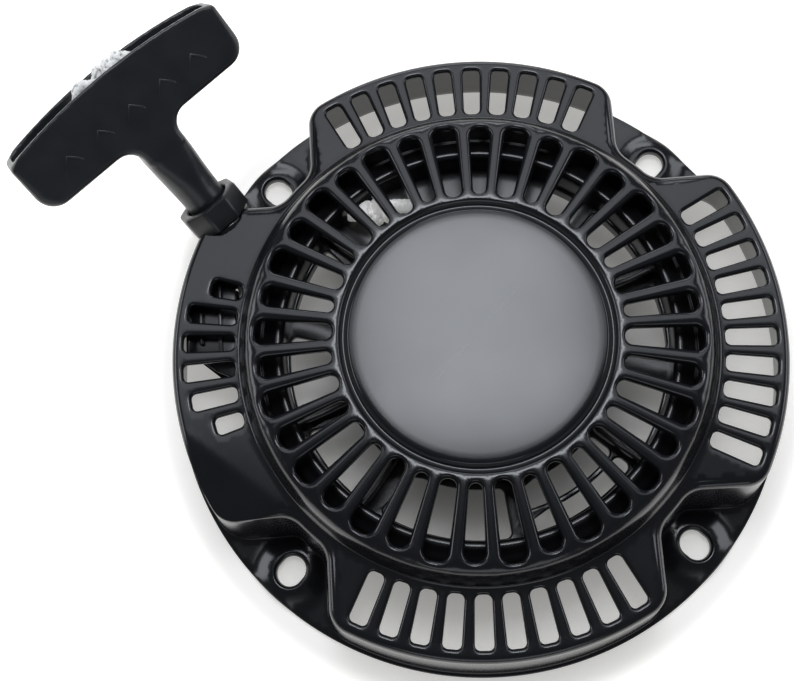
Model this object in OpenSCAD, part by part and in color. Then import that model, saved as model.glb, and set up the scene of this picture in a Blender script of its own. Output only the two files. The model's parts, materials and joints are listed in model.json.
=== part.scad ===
// Recoil starter of a small horizontal-shaft engine.
// Frame: origin at the centre of the mounting flange's underside, +Z away from the
// engine, +Y towards the top of the starter, +X to its right. Millimetres.

/* [Housing] */
// Outer radius of the mounting flange
flange_r = 95; // [95:0.5:96]
// Thickness of the pressed steel sheet
sheet = 1.6; // [1.4:0.1:1.6]
// Height of the flat centre above the flange's underside
crown_z = 41.3; // [41:0.1:42]
// Half width of the four lobes
lobe_half = 47; // [46:0.5:48]
// Outer radius of the wall between lobe and drum
ring_r = 73.5; // [73:0.5:74]
// Radius of the mounting bolts' circle
bolt_circle_r = 85.8; // [85.6:0.1:86]
// Radius of a mounting hole
bolt_hole_r = 4.15; // [4:0.05:4.2]

/* [Vents] */
// Number of radial slots round the drum's top
drum_slots = 36; // [36]
// Angle between neighbouring slots of a lobe, in degrees
lobe_pitch = 6; // [5.9:0.1:6]

/* [Reel] */
// Radius of the post that the reel turns on
post_r = 7; // [6.9:0.05:7.1]
// Running clearance between post and reel bush
run_gap = 0.05; // [0.03:0.01:0.08]
// Outer radius of the reel's rope flanges
reel_r = 70; // [67:0.1:70]
// Radius of the rope
rope_r = 2.25; // [2.1:0.05:2.25]

/* [Handle] */
// Direction of the rope outlet seen from the front, degrees from +X
outlet_turn = 129; // [128:1:130]
// Rise of the rope outlet from the flange plane, in degrees
outlet_rise = 40; // [39:1:41]
// Length of the grip bar
grip_len = 75; // [72:1:77]
// Thickness of the grip bar
grip_thick = 15; // [14.5:0.5:16]

/* [Hidden] */
$fn = 96;

mouth = [-79.4, 50.5, 30];          // mouth of the rope outlet, on its axis
slot_angle0 = 5;                    // first drum slot
wall_foot_r = flange_r - 1.4;       // where the lobe walls meet the flange
lobe_ends = [0, 90, 180, 270];
corner_r = 8;                       // rounding of the lobes seen from the front
rope_z = 20.3;                      // height of the rope's run inside
groove_low = 15.7;
groove_high = 24.9;
groove_r = 59.4;
pawl_pivot = [24, 0];
pawl_peg = [-3, 9];                 // from the pivot, at rest
pawl_swing = -30;
guide_swing = 20;
black = [0.07, 0.07, 0.08];
steel = [0.62, 0.63, 0.65];
white = [0.86, 0.86, 0.84];

// Outside and inside of the pressed shell, radius and height.
skin_out = [
  [0, 0.8], [flange_r - 1.2, 0.8], [wall_foot_r, 1.6], [93.1, 3.4],
  [90.5, 27], [89.7, 28.9], [88.3, 30.1], [86.3, 30.6], [72.5, 31], [70.6, 31.6],
  [69.2, 33.2], [67.9, 36.6], [66.6, 38.6], [64.4, 39.8], [40.4, 41.5], [39.7, 41.2],
  [39.5, 38.6], [37.9, 38.6], [37.7, 41], [37.1, crown_z], [0, crown_z]
];
skin_in = [
  [0, -2], [91.8, -2], [91.5, 3.2], [88.9, 26.6], [88.1, 28.2], [86.2, 29],
  [72.3, 29.4], [69.7, 30.2], [67.9, 32.4], [66.5, 35.9], [65.6, 37.3], [64.1, 38.2],
  [41.2, 39.8], [40.9, 37], [36.5, 37], [36.2, crown_z - sheet], [0, crown_z - sheet]
];

// Puts its children on the outlet's axis: +Z outwards along the rope, +X along the grip.
module on_outlet()
  translate(mouth)
    rotate([0, 0, outlet_turn])
      rotate([0, 90 - outlet_rise, 0])
        rotate([0, 0, -90])
          children();

module tube(r_out, r_in, low, high)
  translate([0, 0, low])
    difference() {
      cylinder(r = r_out, h = high - low);
      translate([0, 0, -1])
        cylinder(r = r_in, h = high - low + 2);
    }

module disc(r, low, high)
  translate([0, 0, low])
    cylinder(r = r, h = high - low);

// Widening of the lobes from the height of their top edge down to z.
function draft(z) = (27 - z) * 2.6 / 23.6;

function arc_at(centre, r, from, to, steps) =
  [for (i = [0 : steps]) let (a = from + (to - from) * i / steps) centre + r * [cos(a), sin(a)]];
function mirrored(points) = [for (i = [len(points) - 1 : -1 : 0]) [points[i][1], points[i][0]]];

// Half the plan outline of the space between two lobes, whose walls are moved outwards by grow:
// the lobe's outer corner, then the inner corner, then the wall of the drum.
lobe_corner = [lobe_half - corner_r, sqrt(pow(90.5 - corner_r, 2) - pow(lobe_half - corner_r, 2))];
drum_corner = [lobe_half + corner_r, sqrt(pow(ring_r + corner_r, 2) - pow(lobe_half + corner_r, 2))];
function half_gap(grow) =
  let (lobe_turn = atan2(lobe_corner[1], lobe_corner[0]) - 11)
  let (drum_turn = atan2(drum_corner[1], drum_corner[0]))
  let (edge = lobe_corner + (corner_r + grow) * [cos(lobe_turn), sin(lobe_turn)])
  [
    edge + 60 * [-sin(lobe_turn), cos(lobe_turn)] + [30, 30],
    edge + 6 * [-sin(lobe_turn), cos(lobe_turn)],
    each arc_at(lobe_corner, corner_r + grow, lobe_turn, 0, 6),
    each arc_at(drum_corner, corner_r - grow, 180, 180 + drum_turn, 6),
    (ring_r + grow) * [cos((drum_turn + 45) / 2), sin((drum_turn + 45) / 2)]
  ];
function gap_outline(grow) =
  concat(half_gap(grow), [(ring_r + grow) * [cos(45), sin(45)]], mirrored(half_gap(grow)));

// Space between two lobes, for walls moved inwards by in.
module corner_space(in, low, high) {
  under = gap_outline(draft(low) - in);
  over = gap_outline(draft(high) - in);
  count = len(under);
  polyhedron(
    points = [for (p = under) [p[0], p[1], low], for (p = over) [p[0], p[1], high]],
    faces = [
      [for (i = [0 : count - 1]) i],
      [for (i = [count - 1 : -1 : 0]) count + i],
      for (i = [0 : count - 1]) [(i + 1) % count, i, count + i, count + (i + 1) % count]
    ]
  );
}

// Slanted cut that makes the rope side lobe fall away at its lower end.
module lobe_fall(drop)
  rotate([0, 0, 228.9])
    translate([71.8, 0, 31 - 1.08 * drop])
      rotate([0, 22, 0])
        translate([0, -70, 0])
          cube([60, 68, 30]);

module shell_solid()
  difference() {
    rotate_extrude()
      polygon(skin_out);
    for (turn = lobe_ends)
      rotate([0, 0, turn])
        corner_space(0, -1, 34);
    lobe_fall(0);
  }

module shell_hollow()
  difference() {
    rotate_extrude()
      polygon(skin_in);
    for (turn = lobe_ends)
      rotate([0, 0, turn])
        corner_space(sheet, -3, 34);
    lobe_fall(sheet);
  }

// One vent: a slot along +X with round ends, from r_in to r_out.
module vent(r_in, r_out, w_in, w_out) {
  translate([0, 0, 20])
    linear_extrude(height = 30)
      polygon([
        [r_in + w_in / 2, -w_in / 2], [r_out - w_out / 2, -w_out / 2],
        [r_out - w_out / 2, w_out / 2], [r_in + w_in / 2, w_in / 2]
      ]);
  translate([r_in + w_in / 2, 0, 20])
    cylinder(r = w_in / 2, h = 30);
  translate([r_out - w_out / 2, 0, 20])
    cylinder(r = w_out / 2, h = 30);
}

module drum_vents()
  for (k = [0 : drum_slots - 1])
    rotate([0, 0, slot_angle0 + k * 360 / drum_slots])
      if (k % 2 == 1)
        vent(41.7, 64.2, 4.8, 7);
      else
        vent(42.1, 63.4, 3.6, 5.9);

// Vents of the three plain lobes, and the six unequal ones of the rope side lobe.
module lobe_vents() {
  for (turn = [270, 0, 90], k = [0 : 9])
    rotate([0, 0, turn + (k - 4.5) * lobe_pitch])
      vent(71.9, 87.3, 4.8, 5.2);
  ends = [81, 86.6, 87.3, 87.3, 85.6, 80];
  for (k = [0 : 5])
    rotate([0, 0, 164 + k * 6.1])
      vent(71.7, ends[k], 4.6, 5);
}

module bolt_pads()
  for (turn = [45, 135, 225, 315])
    rotate([0, 0, turn])
      translate([bolt_circle_r, 0, 0])
        rotate_extrude()
          polygon([[3, 0], [9, 0], [9, 1.6], [7.2, 4.2], [6.2, 4.8], [3, 4.8]]);

module bolt_holes()
  for (turn = [45, 135, 225, 315])
    rotate([0, 0, turn])
      translate([bolt_circle_r, 0, -1])
        cylinder(r = bolt_hole_r, h = 12);

module pad_hollows()
  for (turn = [45, 135, 225, 315])
    rotate([0, 0, turn])
      translate([bolt_circle_r, 0, 0])
        rotate_extrude()
          polygon([[0, -1], [7.6, -1], [7.6, 1], [6.4, 2.8], [5.6, 3.2], [0, 3.2]]);

module housing()
  color(black)
    difference() {
      union() {
        shell_solid();
        disc(flange_r, 0, sheet);
        bolt_pads();
        on_outlet()
          translate([0, 0, -26])
            cylinder(r1 = 13.5, r2 = 11, h = 18);
      }
      shell_hollow();
      on_outlet() {
        translate([0, 0, -40])
          cylinder(r1 = 13.6, r2 = 9.4, h = 30.4);
        disc(10.45, -7.95, 6);
      }
      drum_vents();
      lobe_vents();
      pad_hollows();
      bolt_holes();
      on_outlet()
        disc(6.2, -12, 0);
    }

module post_plate()
  color(steel)
    tube(15, 4.5, crown_z - sheet - 1.5, crown_z - sheet);

module centre_post()
  color(steel)
    difference() {
      union() {
        disc(post_r, 11.8, crown_z - sheet - 1.5);
        disc(4.5, 30, crown_z - sheet);
      }
      disc(3, 0, 26);
    }

// Eight-sided collar that clips into the housing and takes the handle's nose.
module guide_bush()
  color(black)
    on_outlet()
      difference() {
        union() {
          translate([0, 0, -7.9])
            rotate([0, 0, 22.5])
              cylinder(r = 10.3, h = 7.9, $fn = 8);
          disc(6.2, -10, -7.8);
          disc(8.6, -12.4, -9.6);
        }
        disc(6.9, -6, 1);
        disc(3.6, -14, 0);
      }

module guide_eyelet()
  color(steel)
    on_outlet() {
      tube(3.6, 2.8, -12.4, -6);
      tube(4.8, 2.8, -13.4, -12.4);
    }

// Folded sheet inside the rope side lobe, under and outside the rope.
module guide_bracket()
  color(black) {
    translate([0, 0, 7.4])
      linear_extrude(height = 1.5)
        polygon([
          [-71.5, -6], [-78, -2.5], [-85.6, 4], [-87, 12], [-85.6, 18], [-80, 27], [-74, 27],
          [-70.6, 18]
        ]);
    translate([-87, 4, 7.4])
      rotate([0, 0, 3])
        cube([1.5, 15, 18]);
    translate([-79.5, 4, 8.8])
      cube([1.2, 15, 5]);
  }

function unit(v) = v / norm(v);
reel_rope_r = 65.9;
run_end = mouth + 15.2 * [
  -cos(outlet_turn) * cos(outlet_rise), -sin(outlet_turn) * cos(outlet_rise), -sin(outlet_rise)
];
run_far = norm([run_end[0], run_end[1]]);
run_turn = atan2(run_end[1], run_end[0]) + acos(reel_rope_r / run_far);
run_len = sqrt(run_far * run_far - reel_rope_r * reel_rope_r);

// Rope between the turns on the reel and the inner end of the outlet.
run_start = 25.6;
module rope_run()
  color(white)
    rotate([0, 0, run_turn])
      translate([reel_rope_r, 0, rope_z])
        rotate([90, 0, 0])
          translate([0, 0, run_start])
            cylinder(r = rope_r, h = run_len - run_start);

// Shoulder screw that holds the reel and the ratchet guide on the post.
module centre_screw()
  color(steel) {
    disc(3, 11, 24);
    disc(5, 8.2, 11.8);
    difference() {
      disc(9, 4.2, 8.2);
      translate([0, 0, 3])
        cylinder(r = 3.4, h = 3.6, $fn = 6);
    }
  }

module thrust_washer()
  color(steel)
    tube(10.5, 5, 10.7, 11.7);

// Web windows: start angle, end angle, inner and outer radius.
web_windows = [
  [-4, 16, 42, 56.5], [24, 46, 42, 56.5], [51, 63, 42, 56.5],
  [142, 164, 42, 56.5], [172, 196, 42, 56.5], [203, 227, 42, 56.5],
  [236, 276, 42, 56.5], [282, 318, 51.6, 56.5], [282, 318, 42, 49.8], [324, 346, 42, 56.5]
];

module sector(from, to, r_in, r_out, low, high)
  rotate([0, 0, from])
    translate([0, 0, low])
      rotate_extrude(angle = to - from)
        translate([r_in, 0])
          square([r_out - r_in, high - low]);

module reel()
  color(black) {
    rotate_extrude()
      polygon([
        [57.2, 12.6], [57.2, 31], [61.6, 29], [62.1, 28.7], [63.2, 28.6], [63.8, 27.9],
        [64.6, 26.6], [reel_r - 0.5, 26.1], [reel_r, 25.5], [reel_r - 0.5, groove_high],
        [groove_r, groove_high], [groove_r, groove_low], [reel_r - 0.5, groove_low], [reel_r, 15],
        [reel_r - 0.5, 14.3], [groove_r, 14.3], [groove_r, 12.6]
      ]);
    difference() {
      disc(57.2, 17.6, 20.4);
      disc(9, 0, 40);
      for (w = web_windows)
        sector(w[0], w[1], w[2], w[3], 10, 30);
      pawl_pin_holes();
    }
    tube(39.6, 36.8, 20.4, 33);
    tube(12, 9, 12, 17.6);
    for (turn = [20, 80, 139, 200, 231, 320])
      rotate([0, 0, turn])
        translate([39.5, -0.8, 20.4])
          cube([17.8, 1.6, 4.4]);
  }

module pawl_pin_holes()
  for (side = [0, 180])
    rotate([0, 0, side])
      translate([pawl_pivot[0], pawl_pivot[1], 0])
        cylinder(r = 3, h = 40);

module reel_bush()
  color(steel)
    tube(9, post_r + run_gap, 12, 33);

module spring_cover()
  color(steel)
    tube(39.6, 9.6, 33, 34.2);

// Spiral strip from the post's hook to the reel's wall.
spring_turns = 7;
spring_steps = 24;
function spiral_point(i, grow) =
  let (share = i / (spring_turns * spring_steps))
  let (r = 11.6 + 23.6 * share + grow)
  [r * cos(360 * i / spring_steps), r * sin(360 * i / spring_steps)];

module main_spring()
  color(steel)
    translate([0, 0, 22])
      linear_extrude(height = 9)
        polygon([
          for (i = [0 : spring_turns * spring_steps]) spiral_point(i, 0),
          for (i = [spring_turns * spring_steps : -1 : 0]) spiral_point(i, 0.9)
        ]);

// Two layers of rope in the reel's groove, two turns wide.
module rope_winding()
  color(white)
    for (layer = [0, 1], row = [0, 1])
      rotate_extrude()
        translate([groove_r + rope_r + 0.05 + layer * 4, groove_low + rope_r + 0.05 + row * 4.6])
          circle(r = rope_r - 0.05, $fn = 24);

module reel_knot()
  color(white)
    rotate([0, 0, 122])
      translate([52, 0, 24.9]) {
        sphere(r = 4.4);
        rotate([90, 0, -22])
          cylinder(r = rope_r, h = 9.5);
      }

module pawl_pin(side)
  color(steel)
    rotate([0, 0, side])
      translate([pawl_pivot[0], pawl_pivot[1], 0]) {
        disc(3, 11.2, 20.4);
        disc(4.4, 10.8, 11.6);
      }

module pawl(side)
  color(steel)
    rotate([0, 0, side])
      translate([pawl_pivot[0], pawl_pivot[1], 0])
        difference() {
          union() {
            disc(5.6, 12.2, 16.6);
            translate([0, 0, 12.2])
              linear_extrude(height = 4.4)
                polygon([[-5, 2], [-5.4, 10], [-4.2, 17], [-1.2, 18.6], [0.6, 16], [4.6, 3]]);
            translate([pawl_peg[0], pawl_peg[1], 0])
              disc(1.5, 8.8, 13);
          }
          disc(3 + run_gap, 8, 20);
        }

// A point turned about the origin.
function turned(p, a) = [p[0] * cos(a) - p[1] * sin(a), p[0] * sin(a) + p[1] * cos(a)];

// Outline of a cam slot: the peg's path seen from the guide, with its clearance round it.
cam_steps = 10;
function peg_at(share) =
  turned(pawl_pivot + turned(pawl_peg, pawl_swing * share), -guide_swing * share);
function cam_side(share, side) =
  let (ahead = unit(peg_at(share + 0.02) - peg_at(share - 0.02)))
  peg_at(share) + side * 1.9 * [-ahead[1], ahead[0]];
function cam_end(share, from) =
  let (ahead = unit(peg_at(share + 0.02) - peg_at(share - 0.02)))
  [for (a = [from - 30 : -30 : from - 150]) peg_at(share) + 1.9 * turned(ahead, a)];

module ratchet_guide()
  color(steel)
    difference() {
      union() {
        disc(14, 8.4, 10.2);
        intersection() {
          disc(31.5, 8.4, 10.2);
          for (side = [0, 180])
            rotate([0, 0, side])
              translate([0, 0, 8])
                linear_extrude(height = 3)
                  polygon([[4, 0], 50 * [cos(-14), sin(-14)], 50 * [cos(44), sin(44)]]);
        }
      }
      disc(5 + run_gap, 0, 20);
      for (side = [0, 180])
        rotate([0, 0, side])
          linear_extrude(height = 20)
            polygon([
              for (i = [0 : cam_steps]) cam_side(i / cam_steps, 1),
              each cam_end(1, 90),
              for (i = [cam_steps : -1 : 0]) cam_side(i / cam_steps, -1),
              each cam_end(0, 270)
            ]);
    }

module friction_spring()
  color(steel)
    rotate([0, 0, 25])
      rotate_extrude(angle = 320)
        translate([11.4, 7.6])
          circle(r = 0.8, $fn = 24);

// Grip outline across the rope's axis: a bowed back, round corners and a filleted neck.
grip_back = 49.6;
grip_front = 27.6;
grip_bow = 182;
end_r = 7;
neck_r = 5.5;
neck_half = 6.9;
module grip_outline()
  difference() {
    union() {
      intersection() {
        translate([0, grip_back - grip_bow])
          circle(r = grip_bow, $fn = 200);
        union() {
          translate([end_r - grip_len / 2, grip_front])
            square([grip_len - 2 * end_r, 24]);
          translate([-grip_len / 2, grip_front + end_r])
            square([grip_len, 24]);
          for (side = [-1, 1])
            translate([side * (grip_len / 2 - end_r), grip_front + end_r])
              circle(r = end_r);
        }
      }
      translate([-neck_half - neck_r, grip_front - neck_r])
        square([2 * (neck_half + neck_r), neck_r + 1]);
    }
    for (side = [-1, 1])
      translate([side * (neck_half + neck_r), grip_front - neck_r])
        circle(r = neck_r);
  }

module handle()
  color(black)
    on_outlet()
      difference() {
        union() {
          translate([0, grip_thick / 2, 0])
            rotate([90, 0, 0])
              linear_extrude(height = grip_thick)
                grip_outline();
          translate([0, 0, -5.6])
            cylinder(r1 = 6.2, r2 = 6.8, h = 34);
        }
        translate([-grip_len / 2 + 2.4, -grip_thick / 2 + 2, 41])
          cube([grip_len - 4.8, grip_thick - 4, 12]);
        disc(rope_r + 0.1, -8, 60);
        disc(4.2, 38.4, 50);
      }

module handle_ferrule()
  color(steel)
    on_outlet()
      tube(4.2, rope_r + 0.1, 38.4, 39.6);

module handle_knot()
  color(white)
    on_outlet()
      translate([3, 0, 47.4]) {
        rotate([90, 0, 0])
          sphere(r = 4.3);
        rotate([0, 202.6, 0])
          cylinder(r = rope_r, h = 7.1);
        rotate([0, -76, 0])
          cylinder(r = rope_r, h = 11);
      }

module rope_lead()
  color(white)
    on_outlet()
      disc(rope_r, -12.2, 39.4);

housing();
post_plate();
centre_post();
guide_bush();
guide_eyelet();
guide_bracket();
rope_run();
centre_screw();
thrust_washer();
reel();
reel_bush();
spring_cover();
main_spring();
rope_winding();
reel_knot();
pawl_pin(0);  // pawl_pin_a
pawl_pin(180);  // pawl_pin_b
pawl(0);  // pawl_a
pawl(180);  // pawl_b
ratchet_guide();
friction_spring();
handle();
handle_ferrule();
handle_knot();
rope_lead();
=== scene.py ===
"""Recoil starter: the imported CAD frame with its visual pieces, materials, light and camera."""
import json
import math

import bpy
import bmesh
import numpy as np
from mathutils import Matrix, Vector
from mathutils.geometry import delaunay_2d_cdt

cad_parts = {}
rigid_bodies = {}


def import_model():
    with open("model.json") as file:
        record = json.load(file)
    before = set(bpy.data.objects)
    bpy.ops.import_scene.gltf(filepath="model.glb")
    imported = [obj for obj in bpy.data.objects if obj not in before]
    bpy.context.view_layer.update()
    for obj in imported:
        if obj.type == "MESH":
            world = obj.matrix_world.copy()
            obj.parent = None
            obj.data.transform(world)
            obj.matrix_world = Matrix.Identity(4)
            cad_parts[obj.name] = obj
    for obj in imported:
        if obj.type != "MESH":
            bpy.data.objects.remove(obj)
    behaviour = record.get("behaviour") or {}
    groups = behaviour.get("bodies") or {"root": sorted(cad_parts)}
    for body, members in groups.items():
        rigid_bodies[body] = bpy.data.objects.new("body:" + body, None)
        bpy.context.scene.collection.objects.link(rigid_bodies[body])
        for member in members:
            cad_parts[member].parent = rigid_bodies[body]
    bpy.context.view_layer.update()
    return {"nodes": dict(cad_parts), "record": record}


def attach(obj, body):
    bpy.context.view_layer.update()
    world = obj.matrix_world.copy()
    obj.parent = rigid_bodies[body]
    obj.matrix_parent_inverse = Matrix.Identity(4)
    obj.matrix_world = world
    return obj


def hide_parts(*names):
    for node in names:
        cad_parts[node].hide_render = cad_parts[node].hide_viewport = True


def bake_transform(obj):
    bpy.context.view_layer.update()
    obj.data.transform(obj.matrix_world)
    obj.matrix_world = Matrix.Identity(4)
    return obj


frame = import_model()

MM = 0.001

# ---------------------------------------------------------------- dimensions, mm
SHEET = 1.5
FLANGE_R = 95.0
FLAT_R = 94.5
CROWN_Z = 41.3
LOBE_HALF = 47.0
LOBE_R = 90.5
RING_R = 73.5
CORNER_R = 8.0
EDGE_R = 2.4
LOBE_TOP_Z = 28.0
DRAFT = 2.6 / 23.6
BOLT_R = 85.8
BOLT_HOLE_R = 3.95
BOLT_HOLE_STRETCH = 0.7
PLATEAU_Z = 31.0
MOUTH = Vector((-79.4, 50.5, 30.0))
OUTLET_TURN = math.radians(129)
OUTLET_RISE = math.radians(40)
ROPE_R = 2.25
GRIP_LEN = 75.0
GRIP_THICK = 15.0
ROPE_TANGENT_R = 65.9
ROPE_Z = 20.3


def outlet_matrix():
    """Frame on the rope outlet: +Z outwards along the rope, +X along the grip."""
    turn = Matrix.Rotation(OUTLET_TURN, 4, "Z") @ Matrix.Rotation(math.pi / 2 - OUTLET_RISE, 4, "Y")
    return Matrix.Translation(MOUTH) @ turn @ Matrix.Rotation(-math.pi / 2, 4, "Z")


OUTLET = outlet_matrix()
OUTLET_INV = OUTLET.inverted()
PULL = (OUTLET.to_3x3() @ Vector((0, 0, 1))).normalized()


# ---------------------------------------------------------------- camera
CAMERA_AT = Vector((-7.78, -80.12, 378.95))
CAMERA_TILT = math.radians(15.76)
CAMERA_ROLL = math.radians(9.97)
CAMERA_TURN = math.radians(-6.09)


def make_camera():
    """Above the lower half of the starter, looking down and slightly up the picture."""
    to_camera = Matrix.Rotation(CAMERA_ROLL, 3, "Z") @ Matrix.Rotation(-CAMERA_TILT, 3, "X")
    to_camera = to_camera @ Matrix.Rotation(CAMERA_TURN, 3, "Z")
    data = bpy.data.cameras.new("camera")
    data.sensor_width = 36
    data.lens = 55.32
    data.shift_x = -0.0184
    data.shift_y = -0.0666
    data.clip_start = 0.01
    camera = bpy.data.objects.new("camera", data)
    camera.matrix_world = Matrix.Translation(CAMERA_AT * MM) @ to_camera.transposed().to_4x4()
    bpy.context.collection.objects.link(camera)
    bpy.context.scene.camera = camera


make_camera()


# ---------------------------------------------------------------- mesh helpers
def new_object(name, verts, faces, smooth=True):
    """Mesh object from millimetre vertices in the row frame."""
    mesh = bpy.data.meshes.new(name)
    mesh.from_pydata([(x * MM, y * MM, z * MM) for x, y, z in verts], [], faces)
    mesh.validate()
    mesh.update()
    obj = bpy.data.objects.new(name, mesh)
    bpy.context.collection.objects.link(obj)
    if smooth:
        mesh.polygons.foreach_set("use_smooth", [True] * len(mesh.polygons))
    return obj


def merge_doubles(obj, dist=0.02):
    """Welds vertices closer than dist and turns the normals outwards."""
    bm = bmesh.new()
    bm.from_mesh(obj.data)
    bmesh.ops.remove_doubles(bm, verts=bm.verts, dist=dist * MM)
    bmesh.ops.recalc_face_normals(bm, faces=bm.faces)
    bm.to_mesh(obj.data)
    bm.free()


def modifier(obj, kind, **settings):
    """Adds a modifier with the given settings."""
    mod = obj.modifiers.new(kind.lower(), kind)
    for key, value in settings.items():
        setattr(mod, key, value)
    return mod


def apply_modifiers(obj):
    """Bakes the modifiers into the mesh."""
    graph = bpy.context.evaluated_depsgraph_get()
    mesh = bpy.data.meshes.new_from_object(obj.evaluated_get(graph))
    obj.modifiers.clear()
    obj.data = mesh


class Sheet:
    """Vertices and faces of one pressed surface."""

    def __init__(self):
        self.verts = []
        self.faces = []

    def add(self, points):
        start = len(self.verts)
        self.verts.extend(points)
        return list(range(start, len(self.verts)))

    def bridge(self, loop_a, loop_b, closed=True):
        n = len(loop_a)
        for i in range(n if closed else n - 1):
            j = (i + 1) % n
            self.faces.append((loop_a[i], loop_a[j], loop_b[j], loop_b[i]))


def smoothstep(lo, hi, x):
    """Smooth rise from 0 at lo to 1 at hi."""
    t = min(1.0, max(0.0, (x - lo) / (hi - lo)))
    return t * t * (3 - 2 * t)


def circle(radius, count):
    """Plan points evenly spaced round the centre."""
    turns = [2 * math.pi * i / count for i in range(count)]
    return [(radius * math.cos(a), radius * math.sin(a)) for a in turns]


def turned(points, angle):
    """Plan points turned about the centre."""
    c, s = math.cos(angle), math.sin(angle)
    return [(x * c - y * s, x * s + y * c) for x, y in points]


def revolve(name, profile, steps=180, closed=False, from_deg=0.0, to_deg=360.0):
    """Surface of revolution about Z of a (radius, height) profile."""
    full = to_deg - from_deg >= 360
    count = steps if full else steps + 1
    verts = []
    for i in range(count):
        a = math.radians(from_deg + (to_deg - from_deg) * i / steps)
        verts.extend((r * math.cos(a), r * math.sin(a), z) for r, z in profile)
    n = len(profile)
    faces = []
    for i in range(steps):
        j = (i + 1) % count
        for k in range(n if closed else n - 1):
            m = (k + 1) % n
            faces.append((i * n + k, j * n + k, j * n + m, i * n + m))
    if closed and not full:
        faces.append(tuple(range(n)))
        faces.append(tuple((count - 1) * n + k for k in reversed(range(n))))
    return new_object(name, verts, faces)


def rounded(points, radius, steps=4):
    """Closed profile with every corner rounded by up to radius."""
    out = []
    count = len(points)
    for i in range(count):
        a, b, c = (Vector(points[(i + k) % count]) for k in (-1, 0, 1))
        u, v = (a - b), (c - b)
        cut = min(radius, u.length * 0.45, v.length * 0.45)
        p, q = b + u.normalized() * cut, b + v.normalized() * cut
        for k in range(steps + 1):
            t = k / steps
            out.append(tuple(p * (1 - t) ** 2 + b * 2 * t * (1 - t) + q * t * t))
    return out


# ---------------------------------------------------------------- materials
def noise(nodes, links, scale, detail, rough, coord):
    """Noise on the given coordinates."""
    tex = nodes.new("ShaderNodeTexNoise")
    tex.inputs["Scale"].default_value = scale
    tex.inputs["Detail"].default_value = detail
    tex.inputs["Roughness"].default_value = rough
    links.new(coord, tex.inputs["Vector"])
    return tex.outputs["Fac"]


def ramp(nodes, links, source, stops):
    """Colour ramp with (position, colour) stops."""
    node = nodes.new("ShaderNodeValToRGB")
    elements = node.color_ramp.elements
    while len(elements) < len(stops):
        elements.new(0.5)
    for element, (place, colour) in zip(elements, stops):
        element.position = place
        element.color = (*colour, 1)
    links.new(source, node.inputs["Fac"])
    return node.outputs["Color"]


def grey(value):
    """Colour with three equal channels."""
    return (value, value, value)


def make_material(name, low, high, rough, bump=(60, 0.02), metallic=0.0, coat=0.0, fine=900,
                  fine_height=0.01, spec=0.5, worn=None):
    """Mottled colour and roughness with two scales of bump, and optional wear on the edges."""
    mat = bpy.data.materials.new(name)
    mat.use_nodes = True
    nodes, links = mat.node_tree.nodes, mat.node_tree.links
    shader = nodes["Principled BSDF"]
    shader.inputs["Metallic"].default_value = metallic
    shader.inputs["Coat Weight"].default_value = coat
    shader.inputs["Coat Roughness"].default_value = 0.12
    shader.inputs["Specular IOR Level"].default_value = spec
    coord = nodes.new("ShaderNodeTexCoord").outputs["Object"]
    mottle = noise(nodes, links, bump[0], 2.5, 0.45, coord)
    grain = noise(nodes, links, fine, 2, 0.5, coord)
    colour = ramp(nodes, links, mottle, [(0.3, low), (0.7, high)])
    if worn is not None:
        edges = nodes.new("ShaderNodeNewGeometry").outputs["Pointiness"]
        mask = ramp(nodes, links, edges, [(0.53, grey(0)), (0.6, grey(worn[1]))])
        mix = nodes.new("ShaderNodeMix")
        mix.data_type = "RGBA"
        links.new(mask, mix.inputs["Factor"])
        links.new(colour, mix.inputs["A"])
        mix.inputs["B"].default_value = (*worn[0], 1)
        colour = mix.outputs["Result"]
    links.new(colour, shader.inputs["Base Color"])
    links.new(ramp(nodes, links, mottle, [(0.25, grey(rough[0])), (0.75, grey(rough[1]))]),
              shader.inputs["Roughness"])
    first = nodes.new("ShaderNodeBump")
    first.inputs["Strength"].default_value = 1.0
    first.inputs["Distance"].default_value = bump[1] * MM
    links.new(mottle, first.inputs["Height"])
    second = nodes.new("ShaderNodeBump")
    second.inputs["Strength"].default_value = 1.0
    second.inputs["Distance"].default_value = fine_height * MM
    links.new(grain, second.inputs["Height"])
    links.new(first.outputs["Normal"], second.inputs["Normal"])
    links.new(second.outputs["Normal"], shader.inputs["Normal"])
    return mat


PAINT = make_material("black_paint", (0.0062, 0.0066, 0.008), (0.0078, 0.0083, 0.0098), (0.19, 0.215),
                      bump=(70, 0.0012), fine=1500, fine_height=0.0012,
                      worn=((0.03, 0.031, 0.034), 0.3))
GRIP = make_material("grip_plastic", (0.0105, 0.012, 0.0145), (0.0125, 0.0145, 0.0175), (0.3, 0.38),
                     bump=(160, 0.004), fine=2200, fine_height=0.003)
BUSH = make_material("black_plastic", (0.008, 0.0085, 0.01), (0.011, 0.0115, 0.013), (0.3, 0.42),
                     bump=(160, 0.006), fine=2400, fine_height=0.003)
REEL = make_material("reel_plastic", (0.0075, 0.0078, 0.0086), (0.0105, 0.0108, 0.0115), (0.2, 0.28),
                     bump=(120, 0.006), fine=1800, fine_height=0.003)
ZINC = make_material("zinc_steel", (0.5, 0.51, 0.53), (0.66, 0.66, 0.66), (0.22, 0.42),
                     bump=(150, 0.01), metallic=1.0, fine=2500, fine_height=0.006)
SPRING = make_material("spring_steel", (0.2, 0.2, 0.22), (0.36, 0.36, 0.38), (0.25, 0.4),
                       bump=(200, 0.01), metallic=1.0, fine=2500, fine_height=0.006)
ROPE = make_material("rope", (0.78, 0.78, 0.75), (0.93, 0.93, 0.9), (0.7, 0.9),
                     bump=(600, 0.03), fine=3500, fine_height=0.02, spec=0.3)

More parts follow.
